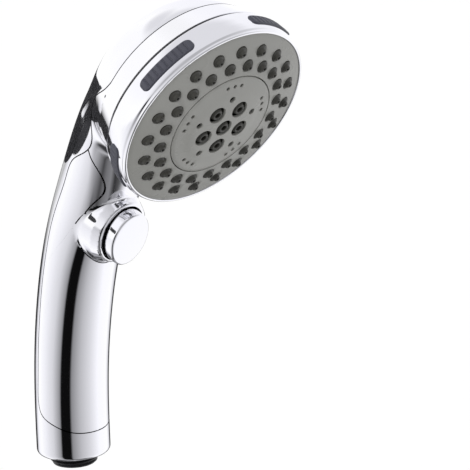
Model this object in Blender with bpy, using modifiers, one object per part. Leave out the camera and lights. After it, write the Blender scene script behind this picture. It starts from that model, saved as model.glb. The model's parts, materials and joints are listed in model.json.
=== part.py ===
"""Handheld shower head: curved chrome handle, turning spray face, and a pause button on the neck.

Frame: the origin is the centre of the inlet's end face, +Z runs up the inlet into the handle,
the spray face looks towards -Y and down, and X = 0 is the plane of symmetry.
Every length in the constants is in millimetres; the model is built in metres.
"""
import math

import bmesh
import bpy
import numpy as np
from mathutils import Matrix, Vector

OBJECT_NAME = "hand_shower"
MM = 0.001

# Handle centreline: distance along it, lean towards the front in degrees, half width and half depth.
STATIONS = (0, 30, 60, 90, 120, 150, 180, 205, 225)
LEAN_DEG = (0, 3.4, 9.7, 16.8, 27.5, 33.5, 41.6, 49.1, 60)
HALF_WIDTH = (16.4, 16.4, 16.5, 16.6, 17.2, 21, 26.5, 29, 26)
HALF_DEPTH = (16.4, 16.4, 16.5, 16.6, 16.8, 16, 14.5, 13, 9.5)
HANDLE_BASE_Z = 5.0
HANDLE_EDGE_RADIUS = 1.8
HANDLE_SIDES = 20
WALL = 2.3
END_WALL = 3.0

# Spray head: its face edge circle, and how far its axis is turned from +Z.
HEAD_CENTRE = (0.0, -101.26, 168.40)
HEAD_TURN_DEG = 122.0
FACE_RADIUS = 42.0
FACE_RISE = 6.0
DISC_RADIUS = 24.0
BEZEL_BACK = -12.3
DRUM_SEAM = -24.05
DOME_EDGE_RADIUS = 20.0
DOME_CORNER = (18.5, -20.6)
PATTERN_DEG = -4.4
FIRST_GRIP_DEG = -49.0
MODES = 5
SEAM_GAP = 0.3
HEAD_STEPS = 44

# Water openings in the spray face.
OUTER_NOZZLES = (34.9, 0.0, 3.1)
INNER_NOZZLES = (28.7, 9.0, 4.1)
NOZZLES_PER_RING = 20
BIG_HOLE_CIRCLE = 9.6
SMALL_HOLE_CIRCLE = 14.1
TINY_HOLE_CIRCLE = 20.0

# Pause button: middle of its front face, its axis, and its oval half sizes across X and along the neck.
BUTTON_FACE = (-15.5, -79.4)
BUTTON_TURN_DEG = 113.0
CAP_OVAL = (9.8, 12.7)
VALVE_DEPTH = 28.0

# Water way.
TUBE_RADIUS = 5.0
TUBE_BORE = 3.6
SOCKET_BORE = 6.6
PORT_CIRCLE = 15.0
DETENT_CIRCLE = 28.0

CHROME = ("chrome", (0.82, 0.83, 0.85), 1.0, 0.06)
FACE_GREY = ("face_grey", (0.42, 0.42, 0.39), 0.0, 0.42)
RUBBER = ("nozzle_rubber", (0.09, 0.09, 0.08), 0.0, 0.6)
SLATE = ("grip_rubber", (0.11, 0.11, 0.14), 0.0, 0.55)
BLACK = ("black_plastic", (0.02, 0.02, 0.02), 0.0, 0.35)
WHITE = ("white_acetal", (0.8, 0.8, 0.78), 0.0, 0.4)
SEAL = ("seal_rubber", (0.03, 0.03, 0.03), 0.0, 0.7)
STEEL = ("spring_steel", (0.6, 0.6, 0.6), 1.0, 0.25)


def clear_scene():
    for item in list(bpy.data.objects):
        bpy.data.objects.remove(item, do_unlink=True)


def new_collection(name):
    collection = bpy.data.collections.new(name)
    bpy.context.scene.collection.children.link(collection)
    return collection


def material(spec):
    name, colour, metallic, roughness = spec
    found = bpy.data.materials.get(name)
    if found:
        return found
    made = bpy.data.materials.new(name)
    made.use_nodes = True
    shader = made.node_tree.nodes["Principled BSDF"]
    shader.inputs["Base Color"].default_value = (*colour, 1.0)
    shader.inputs["Metallic"].default_value = metallic
    shader.inputs["Roughness"].default_value = roughness
    return made


def add_object(name, mesh, placement, spec):
    """Link a mesh as a part with a material, or as a hidden cutter when spec is None."""
    item = bpy.data.objects.new(name, mesh)
    item.matrix_world = placement
    if spec is None:
        CUTTERS.objects.link(item)
        item.hide_render = True
        item.display_type = "WIRE"
    else:
        PARTS.objects.link(item)
        mesh.materials.append(material(spec))
        mesh.shade_smooth()
        mesh.set_sharp_from_angle(angle=math.radians(32))
    return item


def turned(name, profile, placement, spec, steps=HEAD_STEPS):
    """Turn a profile of (radius, height) points round local Z; the loop closes off the axis."""
    points = list(profile)
    on_axis = points[0][0] == 0
    if on_axis and points[0][1] < points[-1][1]:
        points.reverse()
    if not on_axis:
        after = points[1:] + points[:1]
        area = sum(a[0] * b[1] - b[0] * a[1] for a, b in zip(points, after))
        if area > 0:
            points.reverse()
    mesh = bpy.data.meshes.new(name)
    edges = [(i, i + 1) for i in range(len(points) - 1)]
    if not on_axis:
        edges.append((len(points) - 1, 0))
    mesh.from_pydata([(r * MM, 0, h * MM) for r, h in points], edges, [])
    item = add_object(name, mesh, placement, spec)
    screw = item.modifiers.new("turn", "SCREW")
    screw.steps = steps
    screw.render_steps = steps
    screw.use_merge_vertices = True
    screw.merge_threshold = 0.000001
    screw.use_smooth_shade = spec is not None
    return item


def cylinder(name, radius, low, high, placement, spec=None, at=(0, 0), sides=24, top_radius=None):
    """A cylinder or cone along local Z from low to high, centred on a point of the local XY plane."""
    made = bmesh.new()
    top = radius if top_radius is None else top_radius
    middle = Matrix.Translation((at[0] * MM, at[1] * MM, (low + high) / 2 * MM))
    bmesh.ops.create_cone(made, cap_ends=True, segments=sides, radius1=radius * MM,
                          radius2=top * MM, depth=(high - low) * MM, matrix=middle)
    mesh = bpy.data.meshes.new(name)
    made.to_mesh(mesh)
    made.free()
    return add_object(name, mesh, placement, spec)


def box(name, size, centre, placement):
    made = bmesh.new()
    place = Matrix.Translation(Vector(centre) * MM) @ Matrix.Diagonal((*(Vector(size) * MM), 1))
    bmesh.ops.create_cube(made, size=1, matrix=place)
    mesh = bpy.data.meshes.new(name)
    made.to_mesh(mesh)
    made.free()
    return add_object(name, mesh, placement, None)


def loft(name, rings, placement, spec):
    """A closed skin over rings of equal point count, given in order along the form."""
    made = bmesh.new()
    rows = [[made.verts.new(Vector(point) * MM) for point in ring] for ring in rings]
    count = len(rows[0])
    for lower, upper in zip(rows, rows[1:]):
        for i in range(count):
            j = (i + 1) % count
            made.faces.new((lower[i], lower[j], upper[j], upper[i]))
    made.faces.new(reversed(rows[0]))
    made.faces.new(rows[-1])
    bmesh.ops.recalc_face_normals(made, faces=made.faces)
    mesh = bpy.data.meshes.new(name)
    made.to_mesh(mesh)
    made.free()
    return add_object(name, mesh, placement, spec)


def to_mesh(curve_item, spec):
    """Swap a curve object for the mesh it evaluates to, with its caps welded."""
    placement = curve_item.matrix_world.copy()
    name = curve_item.name
    shown = curve_item.evaluated_get(bpy.context.evaluated_depsgraph_get())
    mesh = bpy.data.meshes.new_from_object(shown)
    bpy.data.objects.remove(curve_item, do_unlink=True)
    made = bmesh.new()
    made.from_mesh(mesh)
    bmesh.ops.remove_doubles(made, verts=made.verts, dist=0.000002)
    bmesh.ops.recalc_face_normals(made, faces=made.faces)
    made.to_mesh(mesh)
    made.free()
    mesh.materials.clear()
    return add_object(name, mesh, placement, spec)


def poly_curve(name, points, cyclic):
    curve = bpy.data.curves.new(name, "CURVE")
    spline = curve.splines.new("POLY")
    spline.points.add(len(points) - 1)
    for target, point in zip(spline.points, points):
        target.co = (*(Vector(point) * MM), 1.0)
    spline.use_cyclic_u = cyclic
    item = bpy.data.objects.new(name, curve)
    bpy.context.scene.collection.objects.link(item)
    return item


def prism(name, outline, half_length, placement, spec=None):
    """A flat outline in the local XY plane, thickened both ways along local Z."""
    item = poly_curve(name, [(x, y, 0) for x, y in outline], True)
    item.data.dimensions = "2D"
    item.data.fill_mode = "BOTH"
    item.data.extrude = half_length * MM
    item.matrix_world = placement
    return to_mesh(item, spec)


def rod(name, points, radius, spec, resolution=2, placement=Matrix.Identity(4)):
    """A round rod along a path, with filled ends."""
    item = poly_curve(name, points, False)
    item.data.dimensions = "3D"
    item.data.bevel_depth = radius * MM
    item.data.bevel_resolution = resolution
    item.data.use_fill_caps = True
    item.matrix_world = placement
    return to_mesh(item, spec)


def boolean(item, other, operation="DIFFERENCE"):
    cut = item.modifiers.new(operation.lower(), "BOOLEAN")
    cut.operation = operation
    cut.solver = "EXACT"
    cut.object = other


def baked(item, name, spec):
    """A new object with the item's evaluated mesh; the item and its modifiers go."""
    shown = item.evaluated_get(bpy.context.evaluated_depsgraph_get())
    mesh = bpy.data.meshes.new_from_object(shown)
    placement = item.matrix_world.copy()
    bpy.data.objects.remove(item, do_unlink=True)
    mesh.materials.clear()
    made = bmesh.new()
    made.from_mesh(mesh)
    bmesh.ops.triangulate(made, faces=made.faces)
    made.to_mesh(mesh)
    made.free()
    return add_object(name, mesh, placement, spec)


def on_head(radius, degrees):
    """Local XY of a point on the head, by its angle from the top towards +X."""
    angle = math.radians(degrees)
    return radius * math.sin(angle), radius * math.cos(angle)


def side_view(n, e):
    """World (y, z) of a point given along the spray axis and towards the head's top."""
    y = HEAD_CENTRE[1] - SPRAY_SIN * n - SPRAY_COS * e
    z = HEAD_CENTRE[2] - SPRAY_COS * n + SPRAY_SIN * e
    return y, z


def handle_station(distance):
    """Centreline (y, z), lean in radians, half width and half depth at a distance along the handle."""
    steps = np.linspace(0, max(distance, 0.001), 60)
    leans = np.radians(np.interp(steps, STATIONS, LEAN_DEG))
    y = -np.trapz(np.sin(leans), steps)
    z = HANDLE_BASE_Z + np.trapz(np.cos(leans), steps)
    width = np.interp(distance, STATIONS, HALF_WIDTH)
    depth = np.interp(distance, STATIONS, HALF_DEPTH)
    return float(y), float(z), float(leans[-1]), float(width), float(depth)


def handle_ring(distance, shrink):
    y, z, lean, width, depth = handle_station(distance)
    ring = []
    for i in range(HANDLE_SIDES):
        angle = 2 * math.pi * i / HANDLE_SIDES
        forward = (depth - shrink) * math.cos(angle)
        across = (width - shrink) * math.sin(angle)
        ring.append((across, y - forward * math.cos(lean), z - forward * math.sin(lean)))
    return ring


def oval_rings(stations, sides=24):
    """Rings on the button axis from (depth, half width, half length) triples."""
    rings = []
    for depth, width, length in stations:
        angles = [2 * math.pi * i / sides for i in range(sides)]
        rings.append([(width * math.sin(a), length * math.cos(a), -depth) for a in angles])
    return rings


def arc(centre, radius, start_deg, end_deg, count):
    angles = np.radians(np.linspace(start_deg, end_deg, count))
    return [(centre[0] + radius * math.cos(a), centre[1] - radius * math.sin(a)) for a in angles]


def shifted(path, distance):
    """The path moved sideways, to its left for a positive distance."""
    points = np.array(path, float)
    runs = np.gradient(points, axis=0)
    runs /= np.linalg.norm(runs, axis=1)[:, None]
    normals = np.stack([-runs[:, 1], runs[:, 0]], axis=1)
    return [tuple(point) for point in points + distance * normals]


def side_seam():
    """Side view of the seam between the rear shell and the pieces in front, lower part."""
    foot = [(-40, 17.9), (-16.5, 17.9), (-12.1, 19.1), (-8.8, 20.6), (-4.4, 22.7), (-0.6, 24.7),
            (1.4, 26.7), (2.5, 29.6)]
    behind = ((35, 3.4), (60, 3.5), (90, 4.3), (111, 4.9), (123, 3.8), (134, 2.6), (148, 0.6), (156, -2.5))
    rise = []
    for distance in (35, 47, 60, 75, 90, 100, 111, 123, 134, 141, 148, 152, 156):
        y, z, lean, _, _ = handle_station(distance)
        offset = float(np.interp(distance, [b[0] for b in behind], [b[1] for b in behind]))
        rise.append((y + offset * math.cos(lean), z + offset * math.sin(lean)))
    return foot + rise + [(-47.3, 152.8)]


def neck_seam():
    """Side view of the same seam from the cover's top corner to the drum and past the head's top."""
    bend = ((-37, -36), (-37, -29), (-36.5, -20), (-34, -12), (-29.5, -4), (-25.5, 2), (DRUM_SEAM, 7),
            (DRUM_SEAM, 60))
    return [side_view(n, e) for n, e in bend]


def cover_top_seam():
    """Side view of the front cover's top edge, from its corner down into the button boss."""
    return [(-47.3, 152.8), (-46.6, 148.6), (-46.7, 143), (-46.0, 137), (-43.2, 131), (-38.5, 126.5),
            (-34, 122), (-62, 106)]


def face_height(radius):
    return FACE_RISE * (1 - (radius / FACE_RADIUS) ** 2)


def torus_profile(major, minor, height=0.0, sides=6):
    angles = [2 * math.pi * i / sides for i in range(sides)]
    return [(major + minor * math.cos(a), height + minor * math.sin(a)) for a in angles]


def spring_path(radius, low, high, turns, per_turn=8):
    count = int(turns * per_turn)
    path = []
    for i in range(count + 1):
        angle = 2 * math.pi * i / per_turn
        path.append((radius * math.cos(angle), radius * math.sin(angle), low + (high - low) * i / count))
    return path


def make_shell():
    """The hollow chrome skin of handle, neck and head as one body, before the seams part it."""
    edge = HANDLE_EDGE_RADIUS
    outer = [handle_ring(0, edge), handle_ring(0.3 * edge, 0.3 * edge), handle_ring(edge, 0)]
    outer += [handle_ring(s, 0) for s in np.linspace(15, STATIONS[-1], 13)]
    shell = loft("shell_outer", outer, WORLD, None)
    head = [(0, -13.6), (40.3, -13.6), (40.3, -12.6), (42.8, -12.6), (40.9, -18.0)]
    head += arc(DOME_CORNER, DOME_EDGE_RADIUS, 10, 90, 7) + [(0, DOME_CORNER[1] - DOME_EDGE_RADIUS)]
    boolean(shell, turned("head_outer", head, HEAD, None), "UNION")
    inner = [handle_ring(s, WALL) for s in np.linspace(END_WALL, 210, 10)]
    boolean(shell, loft("handle_hollow", inner, WORLD, None))
    hollow = [(0, -16.0), (37.3, -16.0)]
    hollow += arc(DOME_CORNER, DOME_EDGE_RADIUS - 2.4, 10, 90, 5)
    hollow += [(0, DOME_CORNER[1] - DOME_EDGE_RADIUS + 2.4)]
    boolean(shell, turned("head_hollow", hollow, HEAD, None))
    return baked(shell, "shell", None)


def region(name, outline):
    """A block across the whole width, from an outline in the side view."""
    return prism(name, outline, 70, SIDE_VIEW)


def shell_piece(name, shell, outline):
    """The part of the shell inside a side view outline."""
    piece = add_object(name, shell.data.copy(), shell.matrix_world.copy(), CHROME)
    boolean(piece, region(name + "_region", outline), "INTERSECT")
    return piece


def make_shell_pieces():
    shell = make_shell()
    half_gap = SEAM_GAP / 2
    whole_seam = side_seam() + neck_seam()
    behind = shifted(whole_seam, -half_gap) + [(60, 240), (60, -20), (-40, -20)]
    rear = shell_piece("rear_shell", shell, behind)
    boolean(rear, cylinder("inlet_hole", 10.9, 4, 9, WORLD, sides=40))

    below = shifted(side_seam(), half_gap) + shifted(cover_top_seam(), half_gap)[1:] + [(-62, 17.9)]
    cover = shell_piece("front_cover", shell, below)
    clear = oval_rings([(2, 14.8, 17.9), (20, 14.8, 17.9)])
    boolean(cover, loft("boss_clearance", clear, BUTTON, None))

    up = shifted(neck_seam(), half_gap)
    down = shifted(cover_top_seam(), -half_gap)[::-1]
    ahead = up + [(-170, 232), (-170, 100)] + down[:-1] + [(-47.6, 153.2)]
    housing = shell_piece("head_housing", shell, ahead)
    finish_housing(housing)
    bpy.data.objects.remove(shell, do_unlink=True)


def valve_line():
    """The valve's centre, and a point on the handle's centreline below it and one above it."""
    centre = (BUTTON @ Vector((0, 0, -VALVE_DEPTH * MM))) / MM
    return centre, Vector((0, *handle_station(96)[:2])), Vector((0, *handle_station(140)[:2]))


def valve_stubs():
    """Placements of the valve's two tube stubs, with local Z pointing out of the valve."""
    centre, low, high = valve_line()
    stubs = []
    for name, target in (("lower", low), ("upper", high)):
        aim = (target - centre).to_track_quat("Z", "Y").to_matrix().to_4x4()
        stubs.append((name, Matrix.Translation(centre * MM) @ aim))
    return stubs


def finish_housing(housing):
    """The button boss, the sockets behind the deck and their bores."""
    boss = [(5.8, 11.6, 14.3), (6.3, 12.2, 14.9), (8, 13.0, 15.8), (11, 13.9, 16.8), (19.5, 14.5, 17.6)]
    boolean(housing, loft("boss", oval_rings(boss), BUTTON, None), "UNION")
    port = (0, -PORT_CIRCLE)
    detent = (0, DETENT_CIRCLE)
    boolean(housing, cylinder("duct_socket", 8.4, -24, -15.5, HEAD, at=port, sides=20), "UNION")
    boolean(housing, cylinder("detent_socket", 3.6, -25, -15.5, HEAD, at=detent, sides=16), "UNION")
    boolean(housing, cylinder("pivot_socket", 5.8, -20.5, -15.3, HEAD, sides=18), "UNION")
    bore = [(5, 10.7, 13.5), (8.1, 10.7, 13.5), (8.1, 11.5, 14.3), (22, 11.5, 14.3)]
    boolean(housing, loft("boss_bore", oval_rings(bore), BUTTON, None))
    for name, stub in valve_stubs():
        boolean(housing, cylinder(name + "_stub_clearance", 8.4, 0, 23, stub, sides=20))
    boolean(housing, cylinder("duct_socket_bore", SOCKET_BORE, -25, -17.6, HEAD, at=port, sides=16))
    boolean(housing, cylinder("duct_port", 3.2, -18, -13, HEAD, at=port, sides=12))
    boolean(housing, cylinder("detent_bore", 1.8, -24.2, -13, HEAD, at=detent, sides=12))
    boolean(housing, cylinder("pivot_bore", 2.5, -21, -13, HEAD, sides=12))


def make_inlet():
    crest, root = 10.45, 9.6
    outside = [(9.5, 30), (9.5, 12.5), (12.6, 12.5), (12.6, 9.5), (10.4, 9.5), (10.4, 5.2)]
    thread = [(root, 4.7), (crest, 3.8), (root, 2.9), (crest, 2.0), (root, 1.1), (9.9, 0.5), (9.9, 0)]
    inside = [(8.2, 0), (8.2, 12), (5, 12), (5, 22), (SOCKET_BORE, 22), (SOCKET_BORE, 30)]
    turned("inlet_connector", outside + thread + inside, WORLD, BLACK, steps=28)
    turned("inlet_oring", torus_profile(11.6, 0.45, 8.75), WORLD, SEAL, steps=28)
    screen = cylinder("inlet_filter", 7.9, 7.2, 8.0, WORLD, STEEL, sides=32)
    holes = [(0, 0)] + [on_head(4.6, 60 * i) for i in range(6)]
    for i, place in enumerate(holes):
        boolean(screen, cylinder(f"filter_hole_{i}", 1.6, 6.8, 8.4, WORLD, at=place, sides=10))
    turned("flow_restrictor", [(7.9, 10.8), (7.9, 8.8), (2.2, 8.8), (3.4, 10.8)], WORLD, WHITE, steps=20)


def tube(name, path, spec):
    """A hollow water tube: a rod along the path, bored by a thinner and longer rod."""
    first, last = Vector(path[0]), Vector(path[-1])
    before = first + (first - Vector(path[1])).normalized() * 2
    after = last + (last - Vector(path[-2])).normalized() * 2
    solid = rod(name, path, TUBE_RADIUS, spec)
    boolean(solid, rod(name + "_bore", [before, *path, after], TUBE_BORE, None))


def ring_on_line(name, start, towards, distance, major, minor):
    """A rubber ring round a line, at a distance from its start."""
    direction = (towards - start).normalized()
    turn = direction.to_track_quat("Z", "Y").to_matrix().to_4x4()
    place = Matrix.Translation((start + direction * distance) * MM) @ turn
    turned(name, torus_profile(major, minor), place, SEAL, steps=18)


def make_water_way():
    """The valve body with its two stubs, the tube up the handle and the duct to the head."""
    centre, low, high = valve_line()
    body = cylinder("valve_body", 9.6, -36.5, -19.5, BUTTON, WHITE, sides=32)
    for name, stub in valve_stubs():
        boolean(body, cylinder(name + "_stub", 8.0, 0, 20, stub), "UNION")
        boolean(body, cylinder(name + "_stub_socket", SOCKET_BORE, 12, 21, stub))
        boolean(body, cylinder(name + "_stub_bore", 3.2, 0, 13, stub, sides=16))
    boolean(body, cylinder("valve_bore", 4.3, -33, -19, BUTTON, sides=20))

    to_low = (low - centre).normalized()
    to_high = (high - centre).normalized()
    rise = [Vector((0, 0, 23)), Vector((0, 0, 31))]
    rise += [Vector((0, *handle_station(s)[:2])) for s in range(36, 90, 9)]
    rise += [centre + to_low * 21, centre + to_low * 13]
    tube("water_tube", rise, WHITE)
    ring_on_line("tube_oring_lower", rise[0], rise[1], 4.5, 5.8, 0.5)
    ring_on_line("tube_oring_upper", centre, low, 16, 5.8, 0.5)

    start = centre + to_high * 21
    mouth = Vector((0, *side_view(-24.5, -PORT_CIRCLE)))
    spray = Vector((0, *side_view(1, 0))) - Vector((0, *side_view(0, 0)))
    handles = (start, start + to_high * 22, mouth - spray * 18, mouth)
    duct = [centre + to_high * 13]
    for i in range(11):
        t = i / 10
        weights = ((1 - t) ** 3, 3 * t * (1 - t) ** 2, 3 * t * t * (1 - t), t ** 3)
        duct.append(sum((h * w for h, w in zip(handles, weights)), Vector((0, 0, 0))))
    duct.append(mouth + spray * 6)
    tube("head_duct", duct, WHITE)
    ring_on_line("duct_oring_lower", centre, high, 16, 5.8, 0.5)
    ring_on_line("duct_oring_upper", mouth, mouth + spray, 3.5, 5.8, 0.5)


def make_button():
    width, length = CAP_OVAL
    cap = [(0, width - 0.8, length - 0.8), (0.25, width - 0.25, length - 0.25), (0.8, width, length),
           (10, width, length), (10, width - 1.3, length - 1.3), (2.4, width - 1.3, length - 1.3)]
    loft("button_cap", oval_rings(cap), BUTTON, CHROME)
    sleeve_out, sleeve_in = (11.2, 14.0), (10.15, 13.05)
    sleeve = loft("button_sleeve", oval_rings([(8.4, *sleeve_out), (16, *sleeve_out)]), BUTTON, BLACK)
    boolean(sleeve, loft("sleeve_bore", oval_rings([(8, *sleeve_in), (17, *sleeve_in)]), BUTTON, None))
    turned("valve_gland", [(8.0, -16.9), (8.0, -18.3), (2.85, -18.3), (2.85, -16.9)], BUTTON, WHITE, 20)
    stem = [(0, -2.7), (3.4, -2.7), (3.4, -3.6), (2.4, -3.6), (2.4, -27), (3.8, -27), (3.8, -29), (0, -29)]
    turned("valve_stem", stem, BUTTON, STEEL, 20)
    turned("stem_oring_upper", torus_profile(3.3, 0.55, -22.0), BUTTON, SEAL, 16)
    turned("stem_oring_lower", torus_profile(3.3, 0.55, -25.0), BUTTON, SEAL, 16)
    rod("button_spring", spring_path(5.0, -16.1, -3.3, 4.5), 0.45, STEEL, 1, BUTTON)


def make_head_inside():
    """The pieces between the deck and the chamber: slip disc, seal, detent and pivot."""
    disc = turned("slip_disc", [(38.5, -12.3), (38.5, -13.3), (2.7, -13.3), (2.7, -12.3)], HEAD, BLACK, 32)
    boolean(disc, cylinder("slip_port", 5.2, -14, -12, HEAD, at=(0, -PORT_CIRCLE)))
    boolean(disc, cylinder("slip_detent", 1.8, -14, -12, HEAD, at=(0, DETENT_CIRCLE), sides=12))
    port = HEAD @ Matrix.Translation((0, -PORT_CIRCLE * MM, 0))
    turned("port_seal", [(4.9, -12.3), (4.9, -13.3), (3.2, -13.3), (3.2, -12.3)], port, SEAL, 16)
    detent = HEAD @ Matrix.Translation((0, DETENT_CIRCLE * MM, 0))
    pin = [(0, -12.35), (0.7, -12.5), (1.4, -13.2), (1.4, -19.6), (0, -19.6)]
    turned("detent_pin", pin, detent, STEEL, 12)
    rod("detent_spring", spring_path(1.05, -23.7, -20.1, 4, 7), 0.3, STEEL, 0, detent)
    screw = [(0, -6.2), (4.8, -6.2), (4.8, -8.5), (2.2, -8.5), (2.2, -20.0), (0, -20.0)]
    turned("pivot_screw", screw, HEAD, STEEL, 16)
    turned("pivot_washer", [(6.2, -8.8), (6.2, -9.3), (2.6, -9.3), (2.6, -8.8)], HEAD, STEEL, 16)


def grip_block(name, degrees, margin, placement_radius, depth):
    """A block with round ends that stands on the bezel's side, for a grip pad or its recess."""
    half_length, half_width, corner = 13.3 + margin, 3.05 + margin, 2.6 + margin
    outline = []
    for sx, sy, start in ((1, 1, 0), (-1, 1, 90), (-1, -1, 180), (1, -1, 270)):
        centre = (sx * (half_length - corner), sy * (half_width - corner))
        for step in range(4):
            a = math.radians(start + step * 30)
            outline.append((centre[0] + corner * math.cos(a), centre[1] + corner * math.sin(a)))
    turn = Matrix.Rotation(math.radians(-degrees), 4, "Z")
    place = Matrix.Translation((0, placement_radius * MM, -6.15 * MM))
    stand = place @ Matrix.Rotation(math.radians(90), 4, "X")
    return prism(name, outline, depth, HEAD @ turn @ stand)


def make_bezel():
    outer = [(42.15, 0.15), (42.6, 0.35), (43.1, 0.1), (43.3, -0.7), (43.75, -1.6), (43.95, -4.5),
             (43.6, -9.0), (42.9, BEZEL_BACK)]
    inner = [(39.3, BEZEL_BACK), (39.3, -2.4), (42.15, -2.4)]
    bezel = turned("bezel_ring", outer + inner, HEAD, CHROME, 50)
    pad_ring = [(44.5, -1), (44.5, -12), (42.3, -12), (42.3, -1)]
    hole_ring = [(47, -1), (47, -12), (42.0, -12), (42.0, -1)]
    recess = turned("grip_recess_ring", hole_ring, HEAD, None, 50)
    for i in range(MODES):
        degrees = FIRST_GRIP_DEG + i * 360 / MODES
        pad = turned(f"grip_pad_{i + 1}", pad_ring, HEAD, SLATE, 50)
        boolean(pad, grip_block(f"grip_outline_{i + 1}", degrees, 0, 43.5, 4.5), "INTERSECT")
        hole = grip_block(f"grip_recess_{i + 1}", degrees, SEAM_GAP, 43.5, 4.8)
        boolean(hole, recess, "INTERSECT")
        boolean(bezel, hole)


def ring_angles(count, first=0.0):
    return [PATTERN_DEG + first + i * 360 / count for i in range(count)]


def nozzle_places():
    """Local XY and tip height of the forty rubber nozzles."""
    places = []
    for radius, first, height in (OUTER_NOZZLES, INNER_NOZZLES):
        places += [(on_head(radius, a), radius, height) for a in ring_angles(NOZZLES_PER_RING, first)]
    return places


def joined_cutter(name, pieces, placement):
    """Separate cylinders, each (radius, low, high, xy, sides, top radius), as one cutter mesh."""
    made = bmesh.new()
    for radius, low, high, at, sides, top in pieces:
        middle = Matrix.Translation((at[0] * MM, at[1] * MM, (low + high) / 2 * MM))
        bmesh.ops.create_cone(made, cap_ends=True, segments=sides, radius1=radius * MM,
                              radius2=top * MM, depth=(high - low) * MM, matrix=middle)
    mesh = bpy.data.meshes.new(name)
    made.to_mesh(mesh)
    made.free()
    return add_object(name, mesh, placement, None)


def make_spray_face():
    chamber = [(38.9, -2.95), (38.9, -12.0), (2.55, -12.0), (2.55, -9.6), (22.9, -9.6), (22.9, -0.5),
               (25.4, -0.5), (25.4, -9.6), (36.4, -9.6), (36.4, -2.95)]
    body = turned("chamber_body", chamber, HEAD, BLACK, 36)
    ports = [(2.6, -13, -9, on_head(PORT_CIRCLE, 180 + 72 * i), 14, 2.6) for i in range(MODES)]
    boolean(body, joined_cutter("chamber_ports", ports, HEAD))
    notches = [(1.6, -12.9, -11.2, on_head(DETENT_CIRCLE, 72 * i), 10, 0.7) for i in range(MODES)]
    boolean(body, joined_cutter("detent_notches", notches, HEAD))
    boolean(body, box("chamber_window", (60, 5.3, 4.2), (0, 0.6, -5.9), HEAD))

    radii = np.linspace(26, 38.9, 2)
    mat = [(r, face_height(r) - 2.3) for r in radii] + [(r, face_height(r) - 3.5) for r in radii[::-1]]
    rubber = turned("nozzle_mat", mat, HEAD, RUBBER, 32)
    cones = [(2.35, face_height(r) - 2.9, tip, at, 6, 1.2) for at, r, tip in nozzle_places()]
    boolean(rubber, joined_cutter("nozzle_cones", cones, HEAD), "UNION")
    jets = [(0.5, -4, tip + 1, at, 4, 0.5) for at, _, tip in nozzle_places()]
    boolean(rubber, joined_cutter("nozzle_jets", jets, HEAD))

    radii = np.linspace(DISC_RADIUS + 0.35, FACE_RADIUS - 0.2, 2)
    plate = [(r, face_height(r)) for r in radii] + [(r, face_height(r) - 2.0) for r in radii[::-1]]
    face = turned("face_plate", plate, HEAD, FACE_GREY, 40)
    holes = [(2.8, -3, 7, at, 8, 2.8) for at, _, _ in nozzle_places()]
    boolean(face, joined_cutter("face_holes", holes, HEAD))

    raised = [(r, face_height(r) + 0.35) for r in (0, 16.6)]
    edge = [(r, face_height(r)) for r in (17.2, DISC_RADIUS)]
    disc = turned("centre_disc", raised + edge + [(DISC_RADIUS, 1.8), (0, 1.8)], HEAD, FACE_GREY, 32)
    big = [(0, 0)] + [on_head(BIG_HOLE_CIRCLE, a) for a in ring_angles(MODES, 36)]
    small = [on_head(SMALL_HOLE_CIRCLE, a) for a in ring_angles(MODES)]
    tiny = [on_head(TINY_HOLE_CIRCLE, a + shift) for a in ring_angles(MODES) for shift in (-10, 0, 10)]
    cuts = [(3.9, 1, 8, at, 12, 3.9) for at in big] + [(1.5, 1, 8, at, 6, 1.5) for at in small]
    cuts += [(0.9, 1, 8, at, 5, 0.9) for at in tiny]
    boolean(disc, joined_cutter("disc_holes", cuts, HEAD))

    insert = cylinder("massage_insert", 24.8, -0.2, 1.5, HEAD, RUBBER, sides=28)
    cones = [(3.1, 1.0, 5.2 if at == (0, 0) else 4.8, at, 10, 2.1) for at in big]
    boolean(insert, joined_cutter("massage_cones", cones, HEAD), "UNION")
    jets = [(1.1, -1, 6, at, 6, 1.1) for at in big] + [(0.8, -1, 2, at, 6, 0.8) for at in small]
    boolean(insert, joined_cutter("massage_jets", jets, HEAD))


clear_scene()
PARTS = new_collection(OBJECT_NAME)
CUTTERS = new_collection("cutters")
SPRAY_SIN = math.sin(math.radians(HEAD_TURN_DEG))
SPRAY_COS = -math.cos(math.radians(HEAD_TURN_DEG))
WORLD = Matrix.Identity(4)
SIDE_VIEW = Matrix(((0, 0, 1, 0), (1, 0, 0, 0), (0, 1, 0, 0), (0, 0, 0, 1)))
HEAD = Matrix.Translation(Vector(HEAD_CENTRE) * MM) @ Matrix.Rotation(math.radians(HEAD_TURN_DEG), 4, "X")
BUTTON = (Matrix.Translation(Vector((0, *side_view(*BUTTON_FACE))) * MM)
          @ Matrix.Rotation(math.radians(BUTTON_TURN_DEG), 4, "X"))
make_shell_pieces()
make_inlet()
make_water_way()
make_button()
make_head_inside()
make_bezel()
make_spray_face()
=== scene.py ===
"""Handheld shower head: the detailed visual model, its studio and its camera.

Lengths inside the modelling functions are in millimetres; meshes are written in metres.
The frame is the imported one: origin at the inlet's end face, +Z up the handle, face towards -Y.
"""
import json
import math

import bmesh
import bpy
import numpy as np
from mathutils import Matrix, Vector
from mathutils.geometry import delaunay_2d_cdt


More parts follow.
